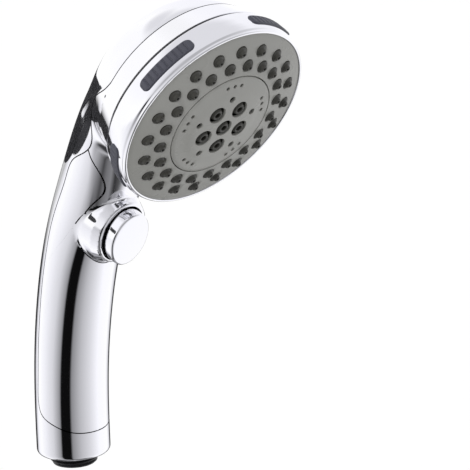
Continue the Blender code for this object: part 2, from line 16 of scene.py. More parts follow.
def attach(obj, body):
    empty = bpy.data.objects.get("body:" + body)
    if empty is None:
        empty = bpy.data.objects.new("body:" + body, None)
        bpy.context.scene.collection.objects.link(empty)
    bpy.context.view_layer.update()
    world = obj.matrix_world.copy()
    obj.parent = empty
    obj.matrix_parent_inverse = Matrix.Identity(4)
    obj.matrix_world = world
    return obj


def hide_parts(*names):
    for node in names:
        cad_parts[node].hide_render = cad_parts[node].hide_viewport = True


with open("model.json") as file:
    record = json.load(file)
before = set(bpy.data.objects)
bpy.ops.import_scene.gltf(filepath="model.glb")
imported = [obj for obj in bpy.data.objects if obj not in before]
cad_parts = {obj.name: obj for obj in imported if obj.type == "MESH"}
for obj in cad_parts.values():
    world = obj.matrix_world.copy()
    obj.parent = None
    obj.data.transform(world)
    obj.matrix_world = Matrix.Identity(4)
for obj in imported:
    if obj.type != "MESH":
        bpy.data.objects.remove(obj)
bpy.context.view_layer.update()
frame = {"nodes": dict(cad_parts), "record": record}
MM = 0.001

# ---------------------------------------------------------------- driving dimensions
HEAD_CENTRE = np.array([0.0, -101.26, 168.40])
HEAD_TURN = math.radians(122)
SPRAY = np.array([0.0, -math.sin(HEAD_TURN), math.cos(HEAD_TURN)])
HEAD_UP = np.array([0.0, math.cos(HEAD_TURN), math.sin(HEAD_TURN)])
FACE_RADIUS = 42.0
FACE_RISE = 6.0
PATTERN_DEG = -4.4
FIRST_GRIP_DEG = -49.0

BUTTON_TURN = math.radians(113)
BUTTON_OUT = np.array([0.0, -math.sin(BUTTON_TURN), math.cos(BUTTON_TURN)])
BUTTON_UP = np.array([0.0, math.cos(BUTTON_TURN), math.sin(BUTTON_TURN)])
BUTTON_FACE = HEAD_CENTRE - 15.5 * SPRAY - 79.4 * HEAD_UP

HEAD = Matrix.Translation(Vector(HEAD_CENTRE) * MM) @ Matrix.Rotation(HEAD_TURN, 4, "X")
BUTTON = Matrix.Translation(Vector(BUTTON_FACE) * MM) @ Matrix.Rotation(BUTTON_TURN, 4, "X")
WORLD = Matrix.Identity(4)

KNOTS = np.array([-30, 0, 30, 60, 90, 120, 150, 180, 205, 225, 240.0])
LEAN = np.radians([0, 0, 3.4, 9.7, 16.8, 27.5, 33.5, 41.6, 49.1, 60, 72])
HALF_WIDTH = np.array([16.4, 16.4, 16.4, 16.5, 16.6, 17.2, 21, 26.5, 29, 26, 20])
HALF_DEPTH = np.array([16.4, 16.4, 16.4, 16.5, 16.6, 16.8, 16, 14.5, 13, 10.5, 8])
HANDLE_BASE_Z = 5.0
DRUM_SEAM = -24.05
SEAM_HALF = 0.24
DOME_CORNER = (18.5, -20.6)
DOME_RADIUS = 20.0
STATION_STEP = 0.25
COARSE = 8


# ---------------------------------------------------------------- small helpers
def natural_spline(knots, values, at):
    """Natural cubic spline through (knots, values), read at the points at."""
    gaps = np.diff(knots)
    count = len(knots)
    system = np.eye(count)
    right = np.zeros(count)
    for i in range(1, count - 1):
        system[i, i - 1:i + 2] = (gaps[i - 1], 2 * (gaps[i - 1] + gaps[i]), gaps[i])
        right[i] = 6 * ((values[i + 1] - values[i]) / gaps[i] - (values[i] - values[i - 1]) / gaps[i - 1])
    bend = np.linalg.solve(system, right)
    cell = np.clip(np.searchsorted(knots, at) - 1, 0, count - 2)
    left = (knots[cell + 1] - at) / gaps[cell]
    part = 1 - left
    curve = ((left ** 3 - left) * bend[cell] + (part ** 3 - part) * bend[cell + 1]) * gaps[cell] ** 2 / 6
    return left * values[cell] + part * values[cell + 1] + curve


def smooth_path(points, step=0.5):
    """A dense smooth polyline through the points."""
    points = np.array(points, float)
    along = np.concatenate([[0], np.cumsum(np.linalg.norm(np.diff(points, axis=0), axis=1))])
    at = np.linspace(0, along[-1], max(int(along[-1] / step), 8))
    return np.stack([natural_spline(along, points[:, i], at) for i in range(points.shape[1])], axis=1)


def side_view(n, e):
    point = HEAD_CENTRE + n * SPRAY + e * HEAD_UP
    return point[1], point[2]


def on_head(radius, degrees):
    angle = math.radians(degrees)
    return radius * math.sin(angle), radius * math.cos(angle)


def face_height(radius):
    return FACE_RISE * (1 - (radius / FACE_RADIUS) ** 2)


def add_piece(name, mesh, body, nodes, slot, placement=WORLD, smooth=True, sharp_deg=35):
    piece = bpy.data.objects.new(name, mesh)
    piece.matrix_world = placement
    bpy.context.scene.collection.objects.link(piece)
    if smooth:
        mesh.shade_smooth()
        mesh.set_sharp_from_angle(angle=math.radians(sharp_deg))
    mesh.materials.clear()
    mesh.materials.append(FINISH[slot])
    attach(piece, body)
    if nodes:
        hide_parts(*nodes)
    return piece


# ---------------------------------------------------------------- finishes
def finish(name, colour, rough, metallic=0.0, speck=0.08, grain=900.0, bump=0.05, wear=0.0):
    """A material with cloudy colour and roughness variation and a fine moulded or plated texture."""
    made = bpy.data.materials.new(name)
    made.use_nodes = True
    nodes = made.node_tree.nodes
    links = made.node_tree.links
    shader = nodes["Principled BSDF"]
    shader.inputs["Metallic"].default_value = metallic
    where = nodes.new("ShaderNodeTexCoord")
    cloud = nodes.new("ShaderNodeTexNoise")
    cloud.inputs["Scale"].default_value = 45.0
    cloud.inputs["Detail"].default_value = 5.0
    links.new(where.outputs["Object"], cloud.inputs["Vector"])
    tint = nodes.new("ShaderNodeMix")
    tint.data_type = "RGBA"
    tint.inputs["A"].default_value = (*[c * (1 - speck) for c in colour], 1)
    tint.inputs["B"].default_value = (*[min(c * (1 + speck), 1) for c in colour], 1)
    links.new(cloud.outputs["Fac"], tint.inputs["Factor"])
    links.new(tint.outputs["Result"], shader.inputs["Base Color"])
    fine = nodes.new("ShaderNodeTexNoise")
    fine.inputs["Scale"].default_value = grain
    fine.inputs["Detail"].default_value = 3.0
    links.new(where.outputs["Object"], fine.inputs["Vector"])
    gloss = nodes.new("ShaderNodeMapRange")
    gloss.inputs["From Min"].default_value = 0.3
    gloss.inputs["From Max"].default_value = 0.7
    gloss.inputs["To Min"].default_value = rough * 0.8
    gloss.inputs["To Max"].default_value = rough * 1.25 + wear
    links.new(cloud.outputs["Fac"], gloss.inputs["Value"])
    links.new(gloss.outputs["Result"], shader.inputs["Roughness"])
    relief = nodes.new("ShaderNodeBump")
    relief.inputs["Strength"].default_value = bump
    relief.inputs["Distance"].default_value = 0.0002
    links.new(fine.outputs["Fac"], relief.inputs["Height"])
    links.new(relief.outputs["Normal"], shader.inputs["Normal"])
    return made


FINISH = {
    "chrome": finish("plated_chrome", (0.92, 0.92, 0.945), 0.05, 1.0, 0.015, 260.0, 0.012, 0.02),
    "face_grey": finish("satin_grey_plastic", (0.345, 0.345, 0.315), 0.3, 0.0, 0.06, 2600.0, 0.10),
    "nozzle_rubber": finish("nozzle_rubber", (0.045, 0.044, 0.036), 0.42, 0.0, 0.15, 2200.0, 0.15),
    "grip_rubber": finish("grip_rubber", (0.052, 0.053, 0.07), 0.5, 0.0, 0.12, 2400.0, 0.15),
    "black_plastic": finish("black_plastic", (0.012, 0.012, 0.013), 0.3, 0.0, 0.2, 1800.0, 0.08),
    "white_acetal": finish("white_acetal", (0.78, 0.78, 0.75), 0.42, 0.0, 0.03, 2000.0, 0.06),
    "seal_rubber": finish("seal_rubber", (0.02, 0.02, 0.02), 0.6, 0.0, 0.2, 2400.0, 0.12),
    "steel": finish("drawn_steel", (0.6, 0.6, 0.59), 0.24, 1.0, 0.05, 1500.0, 0.08),
}


# ---------------------------------------------------------------- chrome shells as one smooth form
ALONG = np.arange(-30, 226.01, STATION_STEP)
LEANS = natural_spline(KNOTS, LEAN, ALONG)
LEANS[ALONG < 0] = 0
START = int(np.argmin(abs(ALONG)))
STEP_Y = -np.sin(LEANS) * STATION_STEP
STEP_Z = np.cos(LEANS) * STATION_STEP
LINE_Y = np.cumsum(STEP_Y) - np.cumsum(STEP_Y)[START]
LINE_Z = np.cumsum(STEP_Z) - np.cumsum(STEP_Z)[START] + HANDLE_BASE_Z
WIDTHS = natural_spline(KNOTS, HALF_WIDTH, ALONG)
DEPTHS = natural_spline(KNOTS, HALF_DEPTH, ALONG)


def smooth_min(a, b, blend):
    part = np.clip(0.5 + 0.5 * (b - a) / blend, 0, 1)
    return b * (1 - part) + a * part - blend * part * (1 - part)


def round_max(a, b, radius):
    over_a = np.maximum(a + radius, 0)
    over_b = np.maximum(b + radius, 0)
    return np.minimum(np.maximum(a, b), -radius) + np.sqrt(over_a ** 2 + over_b ** 2)


def nearest_station(y, z):
    """Place along the handle and offset towards the front, for side view points."""
    shape = y.shape
    flat = np.stack([y.ravel(), z.ravel()], axis=1)
    coarse = slice(None, None, COARSE)
    found = np.empty(len(flat), int)
    for start in range(0, len(flat), 20000):
        part = flat[start:start + 20000]
        gap = (part[:, :1] - LINE_Y[coarse]) ** 2 + (part[:, 1:] - LINE_Z[coarse]) ** 2
        found[start:start + 20000] = np.argmin(gap, axis=1) * COARSE
    s = ALONG[found]
    for _ in range(3):
        lean = np.interp(s, ALONG, LEANS)
        dy = flat[:, 0] - np.interp(s, ALONG, LINE_Y)
        dz = flat[:, 1] - np.interp(s, ALONG, LINE_Z)
        s = np.clip(s - dy * np.sin(lean) + dz * np.cos(lean), ALONG[0], ALONG[-1])
    lean = np.interp(s, ALONG, LEANS)
    dy = flat[:, 0] - np.interp(s, ALONG, LINE_Y)
    dz = flat[:, 1] - np.interp(s, ALONG, LINE_Z)
    ahead = -dy * np.cos(lean) - dz * np.sin(lean)
    past = -dy * np.sin(lean) + dz * np.cos(lean)
    return s.reshape(shape), ahead.reshape(shape), past.reshape(shape)


def oval_distance(u, v, a, b):
    ratio = np.sqrt((u / a) ** 2 + (v / b) ** 2) + 1e-9
    slope = np.sqrt((u / a ** 2) ** 2 + (v / b ** 2) ** 2) + 1e-9
    return (ratio - 1) * ratio / slope


def handle_field(x, station):
    s, ahead, past = station
    a = np.interp(s, ALONG, WIDTHS)
    b = np.interp(s, ALONG, DEPTHS)
    reach = np.hypot(ahead, past)
    return oval_distance(x, reach, a, b)


def on_head_axes(y, z):
    """Distances from the head's centre along the spray axis and up the face, for side view points."""
    n = (y - HEAD_CENTRE[1]) * SPRAY[1] + (z - HEAD_CENTRE[2]) * SPRAY[2]
    e = (y - HEAD_CENTRE[1]) * HEAD_UP[1] + (z - HEAD_CENTRE[2]) * HEAD_UP[2]
    return n, e


def head_field(x, n, e):
    r = np.hypot(x, e)
    dome = np.hypot(np.maximum(r - DOME_CORNER[0], 0), n - DOME_CORNER[1]) - DOME_RADIUS
    drum = np.maximum((r - 38.3 - 0.386 * (n + 23.9)) * 0.933, DRUM_SEAM - n)
    return dome, np.maximum(drum, n + 6)


def boss_field(x, y, z):
    out = (y - BUTTON_FACE[1]) * BUTTON_OUT[1] + (z - BUTTON_FACE[2]) * BUTTON_OUT[2]
    up = (y - BUTTON_FACE[1]) * BUTTON_UP[1] + (z - BUTTON_FACE[2]) * BUTTON_UP[2]
    depth = -out
    stops = (5.0, 6.6, 10, 16, 30)
    a = np.interp(depth, stops, (11.9, 12.5, 13.7, 14.4, 14.6))
    b = np.interp(depth, stops, (14.4, 15.0, 16.5, 17.5, 17.7))
    side = oval_distance(x, up, a, b)
    return round_max(round_max(side, 5.6 - depth, 0.9), depth - 26, 1.0)


def form(x, y, z, station):
    """Signed distance, near enough, to the outer skin of handle, neck, head and boss."""
    grip = round_max(handle_field(x, station), HANDLE_BASE_Z - z, 2.2)
    n, e = on_head_axes(y, z)
    dome, drum = head_field(x, n, e)
    blend = 10 - 8 * np.clip((n + 37) / 12, 0, 1) * np.clip(e / 14, 0, 1)
    body = np.minimum(smooth_min(grip, dome, blend), drum)
    return smooth_min(body, boss_field(x, y, z), 1.0)


def form_at(points):
    x, y, z = points.T
    return form(x, y, z, nearest_station(y, z))


def form_normals(points, reach=0.12):
    slope = np.empty_like(points)
    for axis in range(3):
        shift = np.zeros(3)
        shift[axis] = reach
        slope[:, axis] = (form_at(points + shift) - form_at(points - shift)) / (2 * reach)
    size = np.linalg.norm(slope, axis=1, keepdims=True)
    return slope / np.maximum(size, 1e-6), size[:, 0]


def onto_form(points, rounds=3):
    for _ in range(rounds):
        normals, size = form_normals(points)
        points = points - normals * (form_at(points) / np.maximum(size, 0.4))[:, None]
    return points


def surface_net(low, high, step):
    """Quads near the zero surface of the form, one vertex to each grid cell it passes through."""
    axes = [np.arange(a, b, step) for a, b in zip(low, high)]
    y, z = np.meshgrid(axes[1], axes[2], indexing="ij")
    station = nearest_station(y, z)
    inside = np.empty([len(a) for a in axes], bool)
    for i, x in enumerate(axes[0]):
        inside[i] = form(x, y, z, station) < 0
    corners = sum(inside[i:i - 1 or None, j:j - 1 or None, k:k - 1 or None].astype(np.int8)
                  for i in (0, 1) for j in (0, 1) for k in (0, 1))
    active = (corners > 0) & (corners < 8)
    number = np.full(active.shape, -1)
    number[active] = np.arange(active.sum())
    cells = np.argwhere(active)
    points = np.array(low) + (cells + 0.5) * step
    quads = []
    for axis in range(3):
        one, two = [(1, 2), (2, 0), (0, 1)][axis]
        first = np.moveaxis(inside, axis, 0)
        changed = first[:-1] != first[1:]
        changed = np.moveaxis(changed, 0, axis)
        at = np.argwhere(changed)
        at = at[(at[:, one] > 0) & (at[:, two] > 0)]
        keep = (at[:, one] < inside.shape[one] - 1) & (at[:, two] < inside.shape[two] - 1)
        at = at[keep]
        corners4 = []
        for da, db in ((-1, -1), (0, -1), (0, 0), (-1, 0)):
            cell = at.copy()
            cell[:, one] += da
            cell[:, two] += db
            corners4.append(number[tuple(cell.T)])
        quad = np.stack(corners4, axis=1)
        outward = inside[tuple(at.T)]
        quad[~outward] = quad[~outward][:, ::-1]
        quads.append(quad)
    quads = np.concatenate(quads)
    quads = quads[(quads >= 0).all(axis=1)]
    return points, quads


def relaxed(points, quads, rounds):
    """Evens out the quads while keeping them on the form."""
    ends = np.concatenate([quads[:, [0, 1]], quads[:, [1, 2]], quads[:, [2, 3]], quads[:, [3, 0]]])
    count = np.bincount(ends.ravel(), minlength=len(points)).astype(float)
    for _ in range(rounds):
        total = np.zeros_like(points)
        np.add.at(total, ends[:, 0], points[ends[:, 1]])
        np.add.at(total, ends[:, 1], points[ends[:, 0]])
        points = onto_form(0.4 * points + 0.6 * total / np.maximum(count, 1)[:, None], 1)
    return points


def path_distance(path, y, z):
    """Signed distance in the side view from a path; positive is the path's left side."""
    a, b = path[:-1], path[1:]
    run = b - a
    length2 = (run ** 2).sum(axis=1)
    best = np.full(y.shape, 1e9)
    side = np.zeros(y.shape)
    for start, step, size in zip(a, run, length2):
        dy, dz = y - start[0], z - start[1]
        part = np.clip((dy * step[0] + dz * step[1]) / size, 0, 1)
        gap = (dy - part * step[0]) ** 2 + (dz - part * step[1]) ** 2
        closer = gap < best - 1e-12
        best = np.where(closer, gap, best)
        side = np.where(closer, np.sign(step[0] * dz - step[1] * dy), side)
    return np.sqrt(best) * np.where(side == 0, 1, side)


def station_point(distance, offset):
    """Side view point beside the handle's centreline, offset towards the back."""
    y = np.interp(distance, ALONG, LINE_Y)
    z = np.interp(distance, ALONG, LINE_Z)
    lean = np.interp(distance, ALONG, LEANS)
    return y + offset * math.cos(lean), z + offset * math.sin(lean)


def seam_paths():
    """Side view lines: the rear shell's seam, and the top edge of the front cover."""
    foot = [(-40, 17.9), (-28, 17.85), (-16.5, 17.9), (-12.1, 19.1), (-8.8, 20.6), (-4.4, 22.7),
            (-0.6, 24.7), (1.4, 26.7), (2.5, 29.6)]
    marks = (35, 60, 90, 111, 123, 134, 148)
    offsets = (3.4, 3.5, 4.3, 4.9, 3.8, 2.6, 0.6)
    stations = (35, 50, 65, 80, 95, 111, 123, 134, 148)
    rise = [station_point(s, np.interp(s, marks, offsets)) for s in stations]
    bends = ((-37, -42), (-37, -29), (-36.5, -20), (-34, -12), (-29.5, -4), (-25.6, 2), (-24.2, 6))
    neck = [side_view(n, e) for n, e in bends]
    drum = [side_view(DRUM_SEAM, e) for e in (9, 20, 40, 60)]
    side = np.concatenate([smooth_path(foot + rise + neck), np.array(drum)])
    top = [(-47.4, 155.5), (-47.3, 152.8), (-46.6, 148.6), (-46.5, 143), (-45.7, 137),
           (-43.0, 131), (-38.5, 126.5), (-34, 122)]
    return side, np.concatenate([smooth_path(top), np.array([(-70, 101.0)])])


def clip(points, polygons, value, polish):
    """Keeps the part of the polygons where value is positive; new vertices go where it is zero."""
    values = value(points)
    points = list(points)
    cut = {}
    kept = []
    fresh = []

    def crossing(i, j):
        key = (min(i, j), max(i, j))
        if key not in cut:
            part = values[i] / (values[i] - values[j])
            cut[key] = len(points)
            fresh.append(len(points))
            points.append(points[i] + part * (points[j] - points[i]))
        return cut[key]

    for polygon in polygons:
        signs = [values[i] > 0 for i in polygon]
        if all(signs):
            kept.append(polygon)
            continue
        if not any(signs):
            continue
        outline = []
        for i, j, a, b in zip(polygon, polygon[1:] + polygon[:1], signs, signs[1:] + signs[:1]):
            if a:
                outline.append(i)
            if a != b:
                outline.append(crossing(i, j))
        if len(outline) > 2:
            kept.append(outline)
    points = np.array(points)
    if fresh and polish:
        spots = points[fresh]
        for _ in range(3):
            spots = onto_form(spots, 1)
            slope = np.empty_like(spots)
            for axis in range(3):
                shift = np.zeros(3)
                shift[axis] = 0.05
                slope[:, axis] = (value(spots + shift) - value(spots - shift)) / 0.1
            size2 = np.maximum((slope ** 2).sum(axis=1), 0.2)
            spots = spots - slope * (value(spots) / size2)[:, None]
        moved = np.linalg.norm(spots - points[fresh], axis=1) < 0.8
        fixed = points[fresh]
        fixed[moved] = spots[moved]
        points[fresh] = fixed
    return compact(points, kept)


def compact(points, polygons):
    used = np.unique([i for polygon in polygons for i in polygon])
    number = {int(old): new for new, old in enumerate(used)}
    return points[used], [[number[i] for i in polygon] for polygon in polygons]


def shell_piece(name, points, polygons, node, thickness=1.6):
    """A shell of even thickness under the form's skin, with exact normals on its outer side."""
    normals, _ = form_normals(points)
    inner = points - normals * thickness
    count = len(points)
    edges = {}
    for polygon in polygons:
        for i, j in zip(polygon, polygon[1:] + polygon[:1]):
            edges[(i, j)] = True
    rims = [(j, i) for i, j in edges if (j, i) not in edges]
    faces = [tuple(p) for p in polygons]
    faces += [tuple(i + count for i in reversed(p)) for p in polygons]
    faces += [(i, j, j + count, i + count) for i, j in rims]
    mesh = bpy.data.meshes.new(name)
    mesh.from_pydata([tuple(p) for p in np.concatenate([points, inner]) * MM], [], faces)
    mesh.update()
    piece = add_piece(name, mesh, "housing", [node], "chrome", smooth=False)
    mesh.shade_smooth()
    first = len(polygons)
    loops = []
    for polygon in mesh.polygons:
        if polygon.index < first:
            loops += [tuple(normals[v]) for v in polygon.vertices]
        elif polygon.index < 2 * first:
            loops += [tuple(-normals[v - count]) for v in polygon.vertices]
        else:
            loops += [tuple(polygon.normal)] * len(polygon.vertices)
    mesh.normals_split_custom_set(loops)
    return piece


def make_shells():
    step = 1.1
    low, high = (-45.2, -124.0, 1.7), (45.2, 19.6, 222.0)
    points, quads = surface_net(low, high, step)
    points = relaxed(onto_form(points, 4), quads, 4)
    points = onto_form(points, 2)
    polygons = [list(map(int, quad)) for quad in quads]

    def drum_back(p):
        n = (p - HEAD_CENTRE) @ SPRAY
        e = (p - HEAD_CENTRE) @ HEAD_UP
        return np.where(e > -50, -13.5 - n, 5.0)

    def inlet_hole(p):
        return np.where(p[:, 2] < 12, np.hypot(p[:, 0], p[:, 1]) - 10.9, 5.0)

    def boss_hole(p):
        local = p - BUTTON_FACE
        depth = -local @ BUTTON_OUT
        oval = oval_distance(local[:, 0], local @ BUTTON_UP, 10.75, 13.45)
        return np.where(depth < 9, oval, 5.0)

    points, polygons = clip(points, polygons, drum_back, False)
    points, polygons = clip(points, polygons, inlet_hole, True)
    points, polygons = clip(points, polygons, boss_hole, False)
    side, top = seam_paths()

    def front(p):
        return path_distance(side, p[:, 1], p[:, 2]) - SEAM_HALF

    def back(p):
        return -path_distance(side, p[:, 1], p[:, 2]) - SEAM_HALF

    def under_boss(p):
        local = p - BUTTON_FACE
        depth = -local @ BUTTON_OUT
        oval = oval_distance(local[:, 0], local @ BUTTON_UP, 14.9, 18.0)
        return np.where(depth < 25, oval, 5.0)

    def cover(p):
        return np.minimum(path_distance(top, p[:, 1], p[:, 2]), under_boss(p)) - SEAM_HALF

    def housing(p):
        return np.maximum(-path_distance(top, p[:, 1], p[:, 2]), -under_boss(p)) - SEAM_HALF

    shell_piece("rear_shell_skin", *clip(points, polygons, back, True), "rear_shell")
    front_points, front_polygons = clip(points, polygons, front, True)
    shell_piece("front_cover_skin", *clip(front_points, front_polygons, cover, True), "front_cover")
    shell_piece("head_housing_skin", *clip(front_points, front_polygons, housing, True), "head_housing")


# ---------------------------------------------------------------- turned and flat pieces
def lathe(name, profile, steps):
    """A closed outline of (radius, height) turned round Z."""
    profile = np.array(profile, float)
    angles = np.arange(steps) * 2 * math.pi / steps
    points = []
    for r, h in profile:
        points += [(r * math.sin(a), r * math.cos(a), h) for a in angles]
    faces = []
    rows = len(profile)
    for i in range(rows):
        j = (i + 1) % rows
        for k in range(steps):
            m = (k + 1) % steps
            faces.append((i * steps + k, j * steps + k, j * steps + m, i * steps + m))
    made = bmesh.new()
    verts = [made.verts.new(Vector(p) * MM) for p in points]
    for face in faces:
        made.faces.new([verts[i] for i in face])
    bmesh.ops.remove_doubles(made, verts=made.verts, dist=0.0000005)
    bmesh.ops.recalc_face_normals(made, faces=made.faces)
    mesh = bpy.data.meshes.new(name)
    made.to_mesh(mesh)
    made.free()
    return mesh


def rounded(corners, radius, count=5):
    """The closed outline with each corner rounded off."""
    corners = [np.array(c, float) for c in corners]
    outline = []
    for before, corner, after in zip(corners[-1:] + corners[:-1], corners, corners[1:] + corners[:1]):
        to_a, to_b = before - corner, after - corner
        reach = min(radius, 0.45 * np.linalg.norm(to_a), 0.45 * np.linalg.norm(to_b))
        a = corner + to_a / np.linalg.norm(to_a) * reach
        b = corner + to_b / np.linalg.norm(to_b) * reach
        for t in np.linspace(0, 1, count):
            outline.append((1 - t) ** 2 * a + 2 * t * (1 - t) * corner + t * t * b)
    return outline


def circle(centre, radius, count, turn=0.0):
    angles = [2 * math.pi * i / count + turn for i in range(count)]
    return [(centre[0] + radius * math.cos(a), centre[1] + radius * math.sin(a)) for a in angles]


def holed_plate(name, inner, outer, holes, height, thickness, lip=0.22):
    """A plate over a ring or disc with round holes that have rounded edges; height gives its top."""
    loops = [circle((0, 0), outer, 180)]
    if inner:
        loops.append(circle((0, 0), inner, 120))
    loops += [circle(at, radius + lip, 28 if radius > 1.2 else 16, 0.1) for at, radius in holes]
    flat = [Vector(p) for loop in loops for p in loop]
    edges = []
    start = 0
    for loop in loops:
        edges += [(start + i, start + (i + 1) % len(loop)) for i in range(len(loop))]
        start += len(loop)
    spacing = 1.7
    clear = [(Vector(at), radius + lip + 0.5) for at, radius in holes]
    for r in np.arange((inner or 0) + spacing, outer - 1.0, spacing):
        count = max(int(2 * math.pi * r / spacing), 6)
        for p in circle((0, 0), r, count, r):
            spot = Vector(p)
            if all((spot - at).length > reach for at, reach in clear):
                flat.append(spot)
    verts, _, faces, _, _, _ = delaunay_2d_cdt(flat, edges, [], 0, 1e-5)
    blocked = [(Vector(at), radius + lip) for at, radius in holes]
    made = bmesh.new()
    points = [made.verts.new((v.x * MM, v.y * MM, height(v.length) * MM)) for v in verts]
    for face in faces:
        middle = sum((verts[i] for i in face), Vector((0, 0))) / 3
        if middle.length > outer or (inner and middle.length < inner * math.cos(math.pi / 120)):
            continue
        if any((middle - at).length < radius for at, radius in blocked):
            continue
        made.faces.new([points[i] for i in face])
    loose = [v for v in made.verts if not v.link_faces]
    bmesh.ops.delete(made, geom=loose, context="VERTS")
    bmesh.ops.recalc_face_normals(made, faces=made.faces)
    if sum(f.normal.z for f in made.faces) < 0:
        bmesh.ops.reverse_faces(made, faces=made.faces)
    for drop, draw in ((0.07, lip * 0.55), (0.22, lip * 0.45), (thickness - 0.29, 0.0)):
        rim = [e for e in made.edges if e.is_boundary]
        result = bmesh.ops.extrude_edge_only(made, edges=rim)
        for v in [g for g in result["geom"] if isinstance(g, bmesh.types.BMVert)]:
            spot = Vector((v.co.x, v.co.y)) / MM
            near = min(blocked, key=lambda hole: abs((spot - hole[0]).length - hole[1]), default=None)
            if near and (spot - near[0]).length < near[1] + 0.1:
                toward = (near[0] - spot).normalized() * draw * MM
            elif inner and spot.length < (inner + outer) / 2:
                toward = -spot.normalized() * draw * MM
            else:
                toward = spot.normalized() * draw * MM
            v.co.x += toward.x
            v.co.y += toward.y
            v.co.z -= drop * MM
    bmesh.ops.recalc_face_normals(made, faces=made.faces)
    mesh = bpy.data.meshes.new(name)
    made.to_mesh(mesh)
    made.free()
    return mesh


def joined(name, meshes):
    """One mesh from (mesh, matrix) pairs."""
    made = bmesh.new()
    for mesh, matrix in meshes:
        copy = mesh.copy()
        copy.transform(matrix)
        made.from_mesh(copy)
        bpy.data.meshes.remove(copy)
    mesh = bpy.data.meshes.new(name)
    made.to_mesh(mesh)
    made.free()
    return mesh


def ring_angles(count, first=0.0):
    return [PATTERN_DEG + first + i * 360 / count for i in range(count)]


def tilt_to_face(at, height):
    """Placement on the domed face: local Z along the spray axis, at a height over the face edge."""
    return Matrix.Translation(Vector((at[0], at[1], height)) * MM)


OUTER_RING = [on_head(34.9, a) for a in ring_angles(20)]
INNER_RING = [on_head(28.7, a) for a in ring_angles(20, 9.0)]
BIG_HOLES = [(0.0, 0.0)] + [on_head(9.6, a) for a in ring_angles(5, 36)]
SMALL_HOLES = [on_head(14.1, a) for a in ring_angles(5)]
TINY_HOLES = [on_head(20.0, a + shift) for a in ring_angles(5) for shift in (-10, 0, 10)]


def make_face():
    holes = [(at, 2.62) for at in OUTER_RING + INNER_RING]
    plate = holed_plate("face_plate_skin", 24.4, 41.75, holes, face_height, 2.0)
    add_piece("face_plate_skin", plate, "spray_head", ["face_plate"], "face_grey", HEAD)

    nipple = [(0.0, -0.6), (0.45, -0.6), (0.5, 1.42), (0.72, 1.56), (1.05, 1.5), (1.28, 1.25),
              (1.42, 0.7), (1.62, 0.2), (1.95, -0.05), (2.3, -0.14), (2.5, -0.3), (2.52, -1.2), (0.0, -1.2)]
    tip = lathe("nipple", nipple, 28)
    spots = [(at, face_height(34.9) + 0.12) for at in OUTER_RING]
    spots += [(at, face_height(28.7) + 0.12) for at in INNER_RING]
    field = [(tip, tilt_to_face(at, h)) for at, h in spots]
    radii = np.linspace(26, 38.8, 8)
    bed = [(r, face_height(r) - 2.35) for r in radii] + [(r, face_height(r) - 3.4) for r in radii[::-1]]
    field.append((lathe("nozzle_bed", bed, 120), WORLD))
    name = "nozzle_field"
    add_piece(name, joined(name, field), "spray_head", ["nozzle_mat"], "nozzle_rubber", HEAD)


def disc_height(radius):
    step = np.clip((17.3 - radius) / 0.8, 0, 1)
    return face_height(radius) + 0.35 * step * step * (3 - 2 * step)


def make_centre():
    holes = [(at, 3.75) for at in BIG_HOLES] + [(at, 1.35) for at in SMALL_HOLES]
    holes += [(at, 0.8) for at in TINY_HOLES]
    disc = holed_plate("centre_disc_skin", 0, 23.7, holes, disc_height, 1.3, lip=0.16)
    add_piece("centre_disc_skin", disc, "spray_head", ["centre_disc"], "face_grey", HEAD)
    cone = [(0.0, -2.0), (1.05, -2.0), (1.2, 0.9), (1.5, 1.15), (1.95, 1.1), (2.35, 0.7),
            (2.95, -0.9), (3.3, -1.4), (3.6, -1.5), (3.6, -3.4), (0.0, -3.4)]
    jet = lathe("massage_cone", cone, 40)
    field = [(jet, tilt_to_face(at, disc_height(math.hypot(*at)) - 1.1)) for at in BIG_HOLES]
    bed = lathe("massage_bed", [(0.0, 0.0), (23.6, 0.0), (23.6, 1.3), (0.0, 1.3)], 96)
    field.append((bed, WORLD))
    name = "massage_cones"
    add_piece(name, joined(name, field), "spray_head", ["massage_insert"], "nozzle_rubber", HEAD)


def make_bezel():
    corners = [(41.95, -0.1), (42.1, 0.3), (42.75, 0.35), (43.1, 0.0), (43.2, -0.75), (43.7, -1.5),
               (43.92, -3.2), (43.9, -5.0), (43.55, -8.5), (42.95, -12.3), (39.4, -12.3), (39.4, -2.5),
               (41.95, -2.5)]
    bezel = lathe("bezel_skin", rounded(corners, 0.45, 4), 288)
    add_piece("bezel_skin", bezel, "spray_head", ["bezel_ring"], "chrome", HEAD)
    for i in range(5):
        pad = grip_pad(FIRST_GRIP_DEG + 72 * i)
        add_piece(f"grip_{i + 1}", pad, "spray_head", [f"grip_pad_{i + 1}"], "grip_rubber", HEAD)


def make_gap_shade_ring():
    """The slip disc joined to a black ring that fills the gap between the turning bezel and the drum:
    painted shade for the dark gap.
    """
    # painted shade: this black ring stands in the bezel-drum gap, where there is only shade
    ring = lathe("gap_shade_ring", [(42.0, -12.6), (42.0, -13.3), (38.3, -13.3), (38.3, -12.6)], 144)
    disc = frame["nodes"]["slip_disc"]
    name = "slip_disc_and_gap_shade_skin"
    mesh = joined(name, [(disc.data, disc.matrix_world), (ring, HEAD)])
    add_piece(name, mesh, "housing", ["slip_disc"], "black_plastic")


